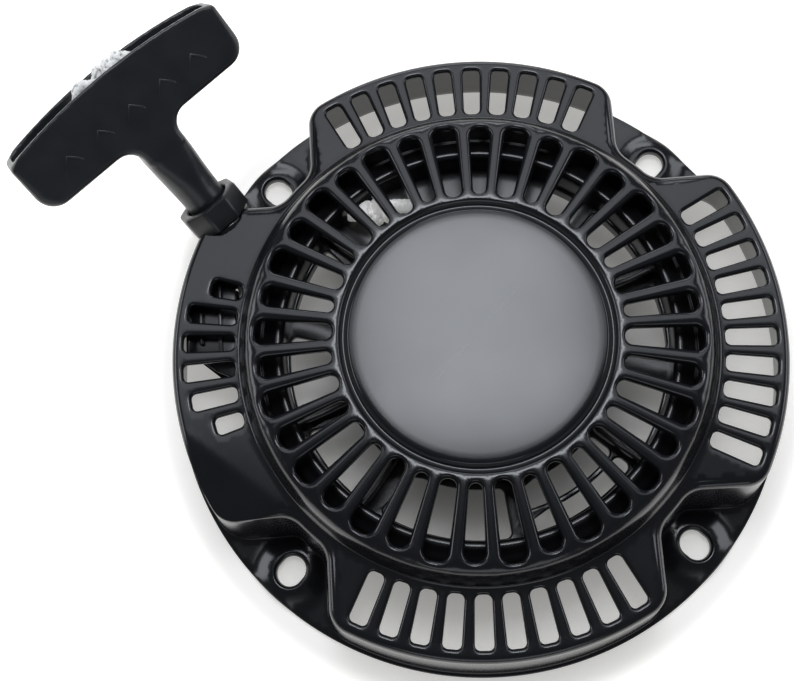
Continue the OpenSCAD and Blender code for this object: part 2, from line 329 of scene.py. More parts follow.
SLOT_MATERIAL = {
    "black_paint": PAINT, "black_plastic": BUSH, "reel_plastic": REEL, "grip_plastic": GRIP,
    "zinc_steel": ZINC, "spring_steel": SPRING, "rope": ROPE,
}


def paint_frame():
    """Gives every carried-over CAD node the procedural material of its slot."""
    slots = {s["node"]: s["material_slot"] for s in frame["record"]["subparts"]}
    for name, obj in frame["nodes"].items():
        for piece in [obj, *obj.children_recursive]:
            if piece.type == "MESH":
                piece.data.materials.clear()
                piece.data.materials.append(SLOT_MATERIAL[slots[name]])


def place(obj, body, slot, *replaced):
    """Puts a new piece on its body, with its slot's material and the nodes it stands for."""
    obj.data.materials.clear()
    obj.data.materials.append(SLOT_MATERIAL[slot])
    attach(obj, body)
    if replaced:
        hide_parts(*replaced)
    return obj


# ---------------------------------------------------------------- housing: heights
# Radius and drop below the crown.
DRUM_DROPS = [
    (0, 0), (8, 0), (16, 0), (24, 0), (30, 0), (34, 0), (35.6, 0.02), (36.4, 0.07), (36.9, 0.2),
    (37.2, 0.42), (37.5, 0.8), (37.8, 1.2), (38.1, 1.5), (38.5, 1.62), (38.9, 1.5), (39.2, 1.2),
    (39.5, 0.75), (39.8, 0.35), (40.05, 0.15), (40.3, 0.02), (40.9, -0.08), (44, 0.05), (62.6, 1.35),
    (63.8, 1.5), (64.8, 1.75), (65.6, 2.1), (66.3, 2.6), (66.9, 3.25), (67.45, 4.15), (67.9, 5.2),
    (68.3, 6.4), (68.65, 7.5), (69.0, 8.45), (69.4, 9.2), (69.8, 9.75), (70.25, 10.12),
]
DRUM_PROFILE = [(r, CROWN_Z - drop) for r, drop in DRUM_DROPS]
DRUM_PROFILE += [(70.75, PLATEAU_Z), (82, PLATEAU_Z - 0.4), (88.1, LOBE_TOP_Z + EDGE_R)]
PROFILE_R = np.array([p[0] for p in DRUM_PROFILE], float)
PROFILE_Z = np.array([p[1] for p in DRUM_PROFILE], float)
FALL_TURN = math.radians(228.9)
FALL_START = 71.8
FALL_SLOPE = math.tan(math.radians(22))


def drum_height(x, y):
    """Height of the turned drum profile at a plan point."""
    return float(np.interp(math.hypot(x, y), PROFILE_R, PROFILE_Z))


def fall_limit(x, y):
    """Ceiling of the slanted face at the lower end of the rope side lobe."""
    out = x * math.cos(FALL_TURN) + y * math.sin(FALL_TURN) - FALL_START
    along = -x * math.sin(FALL_TURN) + y * math.cos(FALL_TURN)
    fade = smoothstep(4, -8, along) if along > -8 else 1.0
    if out <= 0 or fade <= 0:
        return 99.0
    return PLATEAU_Z + 0.4 - FALL_SLOPE * out * fade + (1 - fade) * 8


def settle(x, y, z):
    """Height after the slanted face is blended in."""
    ceiling = fall_limit(x, y)
    if ceiling > 90:
        return z
    soft = 1.4
    h = max(0.0, min(1.0, 0.5 + 0.5 * (ceiling - z) / soft))
    return ceiling * (1 - h) + z * h - soft * h * (1 - h) * 0.5


# ---------------------------------------------------------------- housing: outlines
def arc(centre, radius, start, end, steps, with_end=False):
    """Points of an arc, angles in radians."""
    count = steps + 1 if with_end else steps
    return [
        (centre[0] + radius * math.cos(start + (end - start) * i / steps),
         centre[1] + radius * math.sin(start + (end - start) * i / steps))
        for i in range(count)
    ]


def lobe_outline(inset):
    """Plan outline of the four lobes moved inwards by inset, anticlockwise from -45 degrees."""
    outer_c = LOBE_HALF - CORNER_R
    far = math.sqrt((LOBE_R - CORNER_R) ** 2 - outer_c ** 2)
    inner_c = LOBE_HALF + CORNER_R
    near = math.sqrt((RING_R + CORNER_R) ** 2 - inner_c ** 2)
    near_a = math.atan2(inner_c, near)
    far_a = math.atan2(outer_c, far)
    half = []
    half += arc((0, 0), RING_R - inset, -math.pi / 4, -near_a, 2)
    half += arc((near, -inner_c), CORNER_R + inset, math.pi - near_a, math.pi / 2, 9)
    half += [(near + (far - near) * i / 6, -(LOBE_HALF - inset)) for i in range(6)]
    half += arc((far, -outer_c), CORNER_R - inset, -math.pi / 2, -far_a, 9)
    half += arc((0, 0), LOBE_R - inset, -far_a, 0, 26)
    mirrored = [(x, -y) for x, y in reversed(half[1:])]
    quarter = half + [(LOBE_R - inset, 0)] + mirrored
    points = []
    for k in range(4):
        points += turned(quarter, k * math.pi / 2)
    return points


def slot_outline(angle, size, grow, corners, side_steps):
    """Outline of a tapered slot grown by grow, anticlockwise from its outer right corner."""
    r_in, r_out, w_in, w_out = size
    c_in, c_out = min(corners[0], w_in / 2), min(corners[1], w_out / 2)
    lean = math.atan2((w_out - w_in) / 2, r_out - r_in)
    quarter = math.pi / 2
    ends = []
    for x, y, c, start, stop in (
        (r_out - c_out, -(w_out / 2 - c_out), c_out, -quarter + lean, 0),
        (r_out - c_out, w_out / 2 - c_out, c_out, 0, quarter - lean),
        (r_in + c_in, w_in / 2 - c_in, c_in, quarter - lean, 2 * quarter),
        (r_in + c_in, -(w_in / 2 - c_in), c_in, 2 * quarter, 3 * quarter + lean),
    ):
        ends.append(arc((x, y), c + grow, start, stop, 5, True))
    points = ends[0] + ends[1]
    for (x0, y0), (x1, y1), corner in ((ends[1][-1], ends[2][0], ends[2] + ends[3]),
                                       (ends[3][-1], ends[0][0], [])):
        points += [(x0 + (x1 - x0) * i / side_steps, y0 + (y1 - y0) * i / side_steps)
                   for i in range(1, side_steps)]
        points += corner
    return turned(points, angle)


def sink_slot(sheet, outlines, drops, height):
    """Adds the rolled edge of a slot: loops that step down from the surface into the opening."""
    loops = []
    for points, drop in zip(outlines, drops):
        loops.append(sheet.add([(x, y, height(x, y) - drop) for x, y in points]))
    for outer, inner in zip(loops, loops[1:]):
        sheet.bridge(outer, inner)
    return loops[0]


DRUM_RIM = [(2.1, 0.0), (1.6, 0.05), (1.12, 0.18), (0.7, 0.42), (0.34, 0.82), (0.1, 1.3), (0.0, 1.9),
            (0.0, 2.7)]
LOBE_RIM = [(1.0, 0.0), (0.72, 0.06), (0.42, 0.22), (0.16, 0.52), (0.02, 0.95), (0.0, 1.5)]


def drum_rims(angle, size, spread, side_steps):
    """Outlines of a drum slot's rolled edge, which widens with the ribs towards the drum's rim."""
    r_in, r_out, w_in, w_out = size
    return [
        slot_outline(angle, (r_in - 0.6 * g, r_out + g, w_in + 1.2 * g, w_out + 2 * g), 0,
                     (2.3 + 0.6 * g, 2.6 + g), side_steps)
        for g in (grow * spread for grow, _ in DRUM_RIM)
    ]


def cell_border(mid, half, r_in, r_out, x0, x1, side_steps):
    """Border of one slot's cell, as (radius, angle) points that pair with its slot's outline."""
    turn = (3, 8, 11)

    def cap(x, edge, sign):
        points = []
        for i in range(12):
            if i <= turn[0]:
                points.append((x + (edge - x) * i / turn[0], mid - sign * half))
            elif i >= turn[1]:
                points.append((edge + (x - edge) * (i - turn[1]) / 3, mid + sign * half))
            else:
                points.append((edge, mid + sign * half * (2 * (i - turn[0]) / 5 - 1)))
        return points

    def side(start, end, sign):
        return [(start + (end - start) * i / side_steps, mid + sign * half) for i in range(1, side_steps)]

    return cap(x1, r_out, 1) + side(x1, x0, 1) + cap(x0, r_in, -1) + side(x0, x1, -1)


DRUM_RING = (40.3, 66.9)
FOOT_R = 70.75
FOOT_STEPS = 720


def drum_surface(sheet):
    """Ring of drum slots, each with its rolled edge in a cell of quads."""
    r_in, r_out = DRUM_RING
    side_steps = 12
    inner_ring, outer_ring = [], []
    for k in range(36):
        wide = k % 2 == 1
        mid = math.radians(5 + 10 * k)
        half = math.radians(5.55 if wide else 4.45)
        size = (41.8, 64.4, 4.9, 7.1) if wide else (42.2, 63.6, 3.8, 5.9)
        rims = drum_rims(mid, size, 1.0 if wide else 0.82, side_steps)
        loop = sink_slot(sheet, rims, [d for _, d in DRUM_RIM], drum_height)
        border = cell_border(mid, half, r_in, r_out, 44.2, 61.6, side_steps)
        edge = [(r * math.cos(a), r * math.sin(a)) for r, a in border]
        rim = rims[0]
        middle = [((x + u) / 2, (y + v) / 2) for (x, y), (u, v) in zip(rim, edge)]
        middle_loop = sheet.add([(x, y, drum_height(x, y)) for x, y in middle])
        edge_loop = sheet.add([(x, y, drum_height(x, y)) for x, y in edge])
        sheet.bridge(edge_loop, middle_loop)
        sheet.bridge(middle_loop, loop)
        inner_ring += [a for r, a in border if r <= r_in + 1e-6]
        outer_ring += [a for r, a in border if r >= r_out - 1e-6]
    return inner_ring, outer_ring


def ring_fill(sheet, radii, angles):
    """Concentric loops at the given radii on shared angles, joined into quads."""
    previous = None
    for r in radii:
        loop = sheet.add([(r * math.cos(a), r * math.sin(a), drum_height(r * math.cos(a), r * math.sin(a)))
                          for a in angles])
        if previous is not None:
            sheet.bridge(previous, loop)
        previous = loop
    return previous


def triangulate(sheet, outer, holes, extra, height):
    """Fills the plan region between outline outer and the hole outlines, and lifts it to height."""
    verts, edges = [], []
    for loop in [outer, *holes]:
        start = len(verts)
        verts += [Vector(p) for p in loop]
        edges += [(start + i, start + (i + 1) % len(loop)) for i in range(len(loop))]
    verts += [Vector(p) for p in extra]
    out_verts, _, tris, *_ = delaunay_2d_cdt(verts, edges, [], 0, 1e-6)
    rings = [np.array(loop) for loop in [outer, *holes]]
    pts = np.array([(v.x, v.y) for v in out_verts])
    centres = np.array([pts[list(t)].mean(axis=0) for t in tris])
    keep = inside(centres, rings[0])
    for ring in rings[1:]:
        keep &= ~inside(centres, ring)
    ids = sheet.add([(x, y, height(x, y)) for x, y in pts])
    for tri, wanted in zip(tris, keep):
        if wanted:
            sheet.faces.append(tuple(ids[i] for i in tri))


def inside(points, ring):
    """Even-odd test of many points against one closed outline."""
    x, y = points[:, 0][:, None], points[:, 1][:, None]
    x0, y0 = ring[:, 0][None], ring[:, 1][None]
    x1, y1 = np.roll(ring[:, 0], -1)[None], np.roll(ring[:, 1], -1)[None]
    crosses = (y0 > y) != (y1 > y)
    at = (x1 - x0) * (y - y0) / np.where(y1 == y0, 1e-12, y1 - y0) + x0
    return ((crosses & (x < at)).sum(axis=1) % 2) == 1


def steiner(outer, holes, spacing, gap):
    """Hexagonal grid of fill points that keep clear of every outline."""
    rings = [np.array(loop) for loop in [outer, *holes]]
    lo, hi = rings[0].min(axis=0), rings[0].max(axis=0)
    points = []
    row = 0
    y = lo[1]
    while y < hi[1]:
        x = lo[0] + (spacing / 2 if row % 2 else 0)
        while x < hi[0]:
            points.append((x, y))
            x += spacing
        y += spacing * 0.866
        row += 1
    points = np.array(points)
    keep = inside(points, rings[0])
    for ring in rings[1:]:
        keep &= ~inside(points, ring)
    points = points[keep]
    every = np.vstack(rings)
    near = np.array([np.min(np.hypot(*(every - p).T)) for p in points])
    return [tuple(p) for p in points[near > gap]]


LEFT_ENDS = [81.0, 86.4, 87.0, 87.0, 85.4, 80.0]


def lobe_slots():
    """Angle and size of every vent in the lobes: angle, inner and outer radius, widths."""
    slots = []
    for turn in (-90, 0, 90):
        for k in range(10):
            slots.append((math.radians(turn + (k - 4.5) * 6), 71.9, 86.8, 4.8, 5.3))
    for k, end in enumerate(LEFT_ENDS):
        slots.append((math.radians(164 + k * 6.1), 71.7, end, 4.6, 5.1))
    return slots


def plateau_surface(sheet):
    """Flat tops of the lobes, from the drum's foot to the start of the rounded edge."""
    def height(x, y):
        return settle(x, y, drum_height(x, y))

    outer = lobe_outline(EDGE_R)
    holes = [circle(FOOT_R, FOOT_STEPS)]
    for angle, r0, r1, w0, w1 in lobe_slots():
        rims = [slot_outline(angle, (r0, r1, w0, w1), g, (1.7, 1.5), 8) for g, _ in LOBE_RIM]
        sink_slot(sheet, rims, [d for _, d in LOBE_RIM], height)
        holes.append(rims[0])
    triangulate(sheet, outer, holes, steiner(outer, holes, 1.7, 0.8), height)


def wall_height(inset):
    """Height of the lobes' rounded edge and drafted wall at a plan inset."""
    if inset >= 0:
        t = (EDGE_R - inset) / EDGE_R
        return LOBE_TOP_Z + EDGE_R * math.sqrt(max(0.0, 1 - t * t))
    return LOBE_TOP_Z + inset / DRAFT


PAD_ANGLES = [45, 135, 225, 315]


def floor_height(x, y):
    """Flange floor with a raised pad round each bolt hole."""
    z = SHEET + 0.1
    for turn in PAD_ANGLES:
        a = math.radians(turn)
        along = x * math.cos(a) + y * math.sin(a) - BOLT_R
        across = -x * math.sin(a) + y * math.cos(a)
        d = math.hypot(along * (0.8 if along < 0 else 0.95), across)
        z += 3.2 * (1 - smoothstep(4.6, 12.5, d))
    return z


def wall_surface(sheet):
    """Rounded edge, wall and foot fillet of the lobes as stacked outlines."""
    insets = [EDGE_R, 2.1, 1.8, 1.45, 1.1, 0.75, 0.45, 0.22, 0.07, 0.0]
    insets += [-0.3, -0.8, -1.3, -1.8, -2.2]
    previous = None
    for inset in insets:
        z = wall_height(inset)
        points = lobe_outline(inset)
        loop = sheet.add([(x, y, settle(x, y, max(z, floor_height(x, y)))) for x, y in points])
        if inset == EDGE_R:
            loop = sheet.add([(x, y, settle(x, y, drum_height(x, y))) for x, y in points])
        if previous is not None:
            sheet.bridge(loop, previous)
        previous = loop
    for inset, rise in ((-2.45, 3.6), (-2.65, 1.9), (-2.9, 0.8), (-3.2, 0.2), (-3.5, 0.0)):
        points = lobe_outline(inset)
        loop = sheet.add([(x, y, floor_height(x, y) + rise) for x, y in points])
        sheet.bridge(loop, previous)
        previous = loop


def floor_surface(sheet):
    """Pocket floors, flange rim and the dished bolt holes."""
    rim = circle(FLAT_R, 480)
    holes = [lobe_outline(-3.5)]
    for turn in PAD_ANGLES:
        rims = []
        for grow in (1.5, 1.0, 0.55, 0.18, 0.0, 0.0, 0.0):
            ring = []
            for i in range(40):
                t = 2 * math.pi * i / 40
                stretch = BOLT_HOLE_STRETCH * math.copysign(1, math.cos(t))
                x = BOLT_R + (BOLT_HOLE_R + grow) * math.cos(t) + stretch
                ring.append((x, (BOLT_HOLE_R + grow) * math.sin(t)))
            rims.append(turned(ring, math.radians(turn)))
        sink_slot(sheet, rims, (0, 0.06, 0.3, 0.8, 1.4, 2.2, 3.0), floor_height)
        holes.append(rims[0])
    triangulate(sheet, rim, holes, steiner(rim, holes, 1.8, 0.8), floor_height)
    previous = None
    for r, drop in ((FLAT_R, 0.0), (94.8, 0.12), (94.97, 0.4), (FLANGE_R, 0.8), (FLANGE_R, 1.2)):
        pts = [(x * r / FLAT_R, y * r / FLAT_R) for x, y in rim]
        loop = sheet.add([(x, y, floor_height(x, y) - drop) for x, y in pts])
        if previous is not None:
            sheet.bridge(previous, loop)
        previous = loop


def make_housing():
    """Pressed shell: drum, lobes, wall and floor as one sheet, opened at the outlet and thickened."""
    sheet = Sheet()
    inner_ring, outer_ring = drum_surface(sheet)
    inner = sorted({round(a % (2 * math.pi), 5) % 6.28318 for a in inner_ring})
    outer = sorted({round(a % (2 * math.pi), 5) % 6.28318 for a in outer_ring})
    disc_radii = [r for r in PROFILE_R if 0 < r < DRUM_RING[0]] + [DRUM_RING[0]]
    last = ring_fill(sheet, sorted(disc_radii, reverse=True), inner)
    centre = sheet.add([(0, 0, CROWN_Z)])[0]
    for i in range(len(last)):
        sheet.faces.append((last[i], last[(i + 1) % len(last)], centre))
    shoulder = [DRUM_RING[1], 67.2, 67.45, 67.7, 67.9, 68.1, 68.3, 68.5, 68.65, 68.8, 69.0, 69.2, 69.4, 69.6,
                69.8, 70.05, 70.3]
    last = ring_fill(sheet, shoulder, outer)
    rim = [sheet.verts[i][:2] for i in last]
    triangulate(sheet, circle(FOOT_R, FOOT_STEPS), [rim], [], drum_height)
    plateau_surface(sheet)
    wall_surface(sheet)
    floor_surface(sheet)
    obj = new_object("housing_shell", sheet.verts, sheet.faces)
    merge_doubles(obj)
    bm = bmesh.new()
    bm.from_mesh(obj.data)
    gone = []
    for face in bm.faces:
        local = OUTLET_INV @ (face.calc_center_median() / MM)
        if local.z > -14 and math.hypot(local.x, local.y) < 8:
            gone.append(face)
    bmesh.ops.delete(bm, geom=gone, context="FACES")
    up = sum(1 for f in bm.faces if f.normal.z > 0)
    if up < len(bm.faces) / 2:
        bmesh.ops.reverse_faces(bm, faces=bm.faces)
    bm.to_mesh(obj.data)
    bm.free()
    modifier(obj, "SOLIDIFY", thickness=(SHEET - 0.05) * MM, offset=-1, use_even_offset=False)
    apply_modifiers(obj)
    return place(obj, "casing", "black_paint", "housing")


# ---------------------------------------------------------------- outlet
def on_outlet(obj):
    """Moves a piece built about the outlet's own axis into the row frame."""
    scale = Matrix.Diagonal((MM, MM, MM, 1))
    obj.data.transform(scale @ OUTLET @ scale.inverted())
    return obj


def make_boss():
    """Raised seat of the rope outlet, blended into the lobe's corner."""
    profile = [(13.2, -26), (11.9, -22), (10.7, -17), (9.8, -13), (9.2, -10.4), (8.9, -9),
               (8.7, -8.3), (8.3, -8.05), (7.2, -8.05), (6.6, -8.2), (6.4, -9.0), (6.4, -10.4),
               (7.8, -10.6), (8.6, -13), (9.5, -17), (10.6, -22), (11.8, -26)]
    return place(on_outlet(revolve("outlet_boss", profile, 96, closed=True)), "casing", "black_paint")


def make_bush():
    """Eight-sided collar with a round seat, its edges softened."""
    rows = []
    steps = 96
    outline = [(9.7, -8.0), (10.2, -7.8), (10.35, -7.3), (10.35, -0.9), (10.1, -0.3), (9.5, 0.0)]
    seat = [(8.0, 0.0), (7.4, -0.2), (7.0, -0.8), (6.9, -1.6), (6.9, -6.0), (3.7, -6.0), (3.6, -6.3),
            (3.6, -12.4), (8.4, -12.4), (8.6, -12.1), (8.6, -9.9), (8.3, -9.6), (6.2, -9.6), (6.2, -8.0)]
    for i in range(steps):
        a = 2 * math.pi * i / steps
        sector = (a + math.pi / 8) % (math.pi / 4) - math.pi / 8
        flat = math.cos(math.pi / 8) / math.cos(sector)
        flat = min(flat, 0.992)
        ring = [(r * flat * math.cos(a), r * flat * math.sin(a), z) for r, z in outline]
        ring += [(r * math.cos(a), r * math.sin(a), z) for r, z in seat]
        rows.append(ring)
    verts = [p for ring in rows for p in ring]
    n = len(rows[0])
    faces = []
    for i in range(steps):
        j = (i + 1) % steps
        for k in range(n):
            m = (k + 1) % n
            faces.append((i * n + k, j * n + k, j * n + m, i * n + m))
    obj = on_outlet(new_object("outlet_collar", verts, faces))
    merge_doubles(obj, 0.001)
    modifier(obj, "EDGE_SPLIT", split_angle=math.radians(35))
    apply_modifiers(obj)
    return place(obj, "casing", "black_plastic", "guide_bush")


def slab(outline, z0, z1, bevel=0.35):
    """Flat plate with softened edges between two heights."""
    n = len(outline)
    verts = [(x, y, z) for z in (z0, z1) for x, y in outline]
    faces = [tuple(reversed(range(n))), tuple(range(n, 2 * n))]
    faces += [(i, (i + 1) % n, n + (i + 1) % n, n + i) for i in range(n)]
    obj = new_object("slab", verts, faces, smooth=False)
    modifier(obj, "BEVEL", width=bevel * MM, segments=3, limit_method="ANGLE")
    apply_modifiers(obj)
    return obj


def make_bracket():
    """Black folded sheet under the slots of the rope's lobe."""
    base = [(-71.5, -6), (-78, -2.5), (-85.6, 4), (-87, 12), (-85.6, 18), (-80, 27), (-74, 27), (-70.6, 18)]
    cover = [(-71.8, -5.2), (-78, -2.2), (-86.4, 4.2), (-86.9, 12), (-86.0, 17), (-84.4, 21), (-80.4, 27),
             (-77.4, 30), (-72, 30)]
    parts = [slab(list(reversed(base)), 7.4, 8.9), slab(list(reversed(cover)), 22.9, 24.1)]
    t = 0.6
    for x, y0, y1, z0, z1 in ((-86.4, 4.2, 18.8, 7.6, 25.2), (-79.0, 4, 19, 8.8, 13.8),
                              (-82.4, 6, 16, 24, 25.6), (-76.6, 3, 25, 24, 25.6)):
        parts.append(slab([(x - t, y0), (x + t, y0), (x + t, y1), (x - t, y1)], z0, z1))
    return place(join(parts, "rope_bracket", 180), "casing", "black_paint", "guide_bracket")


# ---------------------------------------------------------------- rope
def tube_faces(start, rings, sides):
    """Quads between consecutive rings of a tube whose vertices begin at start."""
    faces = []
    for i in range(rings - 1):
        a, b = start + i * sides, start + (i + 1) * sides
        faces += [(a + j, b + j, b + (j + 1) % sides, a + (j + 1) % sides) for j in range(sides)]
    return faces


def braid(name, path, radius, strands=8, pitch=9.0, steps_per_mm=1.6, strand_sides=6):
    """Hollow braid of flat strands, half wound each way, that cross over and under along a path."""
    pts = [Vector(p) for p in path]
    lengths = [0.0]
    for a, b in zip(pts, pts[1:]):
        lengths.append(lengths[-1] + (b - a).length)
    total = lengths[-1]
    count = max(8, int(total * steps_per_mm))
    frames = []
    up = Vector((0, 0, 1))
    k = 0
    for i in range(count + 1):
        s = total * i / count
        while k < len(lengths) - 2 and lengths[k + 1] < s:
            k += 1
        t = (s - lengths[k]) / max(1e-9, lengths[k + 1] - lengths[k])
        p = pts[k].lerp(pts[k + 1], t)
        forward = (pts[k + 1] - pts[k]).normalized()
        side = forward.cross(up)
        if side.length < 0.1:
            side = forward.cross(Vector((1, 0, 0)))
        side.normalize()
        up = side.cross(forward).normalized()
        frames.append((s, p, side, up, forward))
    verts, faces = [], []
    for strand in range(strands):
        hand = 1 if strand % 2 else -1
        phase = 2 * math.pi * (strand // 2) / (strands // 2)
        rows = []
        for s, p, side, up, forward in frames:
            a = phase + hand * 2 * math.pi * s / pitch
            weave = hand * math.sin((strands // 2) * 2 * math.pi * s / pitch + math.pi / 4)
            r = radius * (0.8 + 0.09 * weave)
            out = side * math.cos(a) + up * math.sin(a)
            tangent = (up * math.cos(a) - side * math.sin(a)) * hand * 2 * math.pi * r / pitch + forward
            wide = tangent.normalized().cross(out)
            centre = p + out * r
            ring = []
            for j in range(strand_sides):
                b = 2 * math.pi * j / strand_sides
                flat, thick = radius * 0.44 * math.cos(b), radius * 0.17 * math.sin(b)
                ring.append(centre + wide * flat + out * thick)
            rows.append(ring)
        start = len(verts)
        for ring in rows:
            verts += [tuple(v) for v in ring]
        faces += tube_faces(start, len(rows), strand_sides)
        faces.append(tuple(start + j for j in range(strand_sides)))
        faces.append(tuple(start + (len(rows) - 1) * strand_sides + j for j in reversed(range(strand_sides))))
    start = len(verts)
    core_sides = 12
    for s, p, side, up, forward in frames:
        for j in range(core_sides):
            b = 2 * math.pi * j / core_sides
            verts.append(tuple(p + (side * math.cos(b) + up * math.sin(b)) * radius * 0.74))
    faces += tube_faces(start, len(frames), core_sides)
    obj = new_object(name, verts, faces)
    merge_doubles(obj, 0.0005)
    return obj


def smooth_path(points, steps=10):
    """Catmull-Rom curve through the points."""
    pts = [Vector(p) for p in points]
    pts = [pts[0] * 2 - pts[1], *pts, pts[-1] * 2 - pts[-2]]
    out = []
    for i in range(1, len(pts) - 2):
        p0, p1, p2, p3 = pts[i - 1:i + 3]
        for k in range(steps):
            t = k / steps
            out.append(0.5 * ((2 * p1) + (p2 - p0) * t + (2 * p0 - 5 * p1 + 4 * p2 - p3) * t * t
                              + (3 * p1 - p0 - 3 * p2 + p3) * t ** 3))
    out.append(pts[-2])
    return out


def wraps(start, end, radius, turns, first_deg):
    """Points of a rope wound round the line from start to end."""
    a, b = Vector(start), Vector(end)
    side = (b - a).cross(Vector((0, 0, 1))).normalized()
    up = side.cross(b - a).normalized()
    count = int(turns * 10)
    points = []
    for i in range(count + 1):
        turn = math.radians(first_deg + 360 * turns * i / count)
        points.append(a.lerp(b, i / count) + side * radius * math.cos(turn) + up * radius * math.sin(turn))
    return points


def make_ropes():
    """Rope from the reel to the grip, its two knots and the turns on the reel."""
    run_end = MOUTH - PULL * 15.2
    far = math.hypot(run_end.x, run_end.y)
    turn = math.atan2(run_end.y, run_end.x) + math.acos(ROPE_TANGENT_R / far)
    start = Vector((ROPE_TANGENT_R * math.cos(turn), ROPE_TANGENT_R * math.sin(turn), ROPE_Z))
    reach = start.lerp(run_end, 0.9)
    wrap = [Vector((ROPE_TANGENT_R * math.cos(turn + d), ROPE_TANGENT_R * math.sin(turn + d), ROPE_Z))
            for d in (0.1, 0.05)]
    path = smooth_path([*wrap, start, start.lerp(run_end, 0.5), reach, run_end, MOUTH - PULL * 13])
    place(braid("rope_inside", path, ROPE_R), "casing", "rope", "rope_run")
    lead = braid("rope_to_grip", [MOUTH - PULL * 13, MOUTH + PULL * 40.5], ROPE_R)
    lead.data.materials.append(ROPE)
    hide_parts("rope_lead")
    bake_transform(lead)

    knot = [(9.6, 2.4, 46.6), *wraps((7.4, 0.6, 47.4), (-0.6, 0.6, 47.4), 2.1, 2.3, 30),
            (-3.6, 0.6, 47.0), (-5.6, 0.6, 48.4), (-7.4, 0.4, 49.2), (-9.0, 0.2, 47.4), (-10.4, 0, 45.4),
            (-12.2, 0, 45.6)]
    neck = [(0, 0, 39.8), (0.4, 0.2, 42.0), (2.0, 0.8, 44.6), (3.6, 0.8, 46.4)]
    bits = [braid("grip_knot_" + part, [OUTLET @ p for p in smooth_path(points, 6)], ROPE_R * 0.9, pitch=7)
            for part, points in (("wrap", knot), ("neck", neck))]
    place(join(bits, "grip_knot", 180), "pull", "rope", "handle_knot")

    a = math.radians(122)
    spin = Matrix.Translation((52 * math.cos(a), 52 * math.sin(a), 24.9)) @ Matrix.Rotation(a, 4, "Z")
    knot = [(4.0, 6.4, -1.0), *wraps((0.4, 3.6, 2.0), (-2.0, -3.6, 2.0), 2.2, 2.0, 80), (-3.6, -7.4, 1.0),
            (-5.0, -10.0, 0.2)]
    deep = braid("reel_knot_rope", [spin @ p for p in smooth_path(knot, 6)], ROPE_R, pitch=7)
    place(deep, "reel_unit", "rope", "reel_knot")
    # Painted light: the reel knot's rope gets a faint white glow that brightens it in the shade under the
    # drum
    painted_glow_rope = ROPE.copy()
    painted_glow_rope.name = "rope_lit"
    painted_glow = painted_glow_rope.node_tree.nodes["Principled BSDF"].inputs
    painted_glow["Emission Color"].default_value = (1, 1, 0.98, 1)
    painted_glow["Emission Strength"].default_value = 0.2
    deep.data.materials[0] = painted_glow_rope

    turns = []
    for layer in (0, 1):
        steps = 2 * 96
        for i in range(steps):
            share = i / steps
            ang = 2 * math.pi * (layer * 2 + share * 2)
            r = 59.4 + ROPE_R + 0.1 + layer * 4.0
            row = share * 4.6 if layer == 0 else (1 - share) * 4.6
            turns.append((r * math.cos(ang), r * math.sin(ang), 15.7 + ROPE_R + 0.1 + row))
    place(braid("rope_turns", turns, ROPE_R * 0.96, pitch=11, steps_per_mm=0.55, strand_sides=4),
          "reel_unit", "rope", "rope_winding")


# ---------------------------------------------------------------- reel
WEB_WINDOWS = [
    (-4, 16, 42, 56.5), (24, 46, 42, 56.5), (51, 63, 42, 56.5),
    (142, 164, 42, 56.5), (172, 196, 42, 56.5), (203, 227, 42, 56.5),
    (236, 276, 42, 56.5), (282, 318, 51.6, 56.5), (282, 318, 42, 49.8), (324, 346, 42, 56.5),
]
WEB_RIBS = (20, 80, 139, 200, 231, 320)
WEB_TOP = 20.4
WEB_LOW = 17.6


def window_outline(a0, a1, r0, r1, corner, grow):
    """Plan outline of a reel window with round corners, grown by grow."""
    a0, a1 = math.radians(a0), math.radians(a1)
    points = []
    radius = corner + grow
    for r, a, sign_r, sign_a in ((r0, a0, 1, 1), (r1, a0, -1, 1), (r1, a1, -1, -1), (r0, a1, 1, -1)):
        cr = r + sign_r * corner
        ca = a + sign_a * corner / cr
        for k in range(7):
            t = k / 6 * math.pi / 2
            if sign_r == sign_a == 1:  # the first corner runs backwards
                t = math.pi / 2 - t
            u, v = (math.cos(t), math.sin(t)) if sign_r == sign_a else (math.sin(t), math.cos(t))
            points.append((cr - radius * sign_r * u, ca - radius * sign_a * v / cr))
        if sign_a == 1 and sign_r == -1:
            steps = max(2, int((a1 - a0) / math.radians(3)))
            for k in range(1, steps):
                share = k / steps
                points.append((r1 + grow, a0 + (a1 - a0) * share * 0.8 + (a1 - a0) * 0.1))
    steps = max(2, int((a1 - a0) / math.radians(4)))
    for k in range(1, steps):
        share = 1 - k / steps
        points.append((r0 - grow, a0 + (a1 - a0) * share * 0.8 + (a1 - a0) * 0.1))
    return [(r * math.cos(a), r * math.sin(a)) for r, a in points]


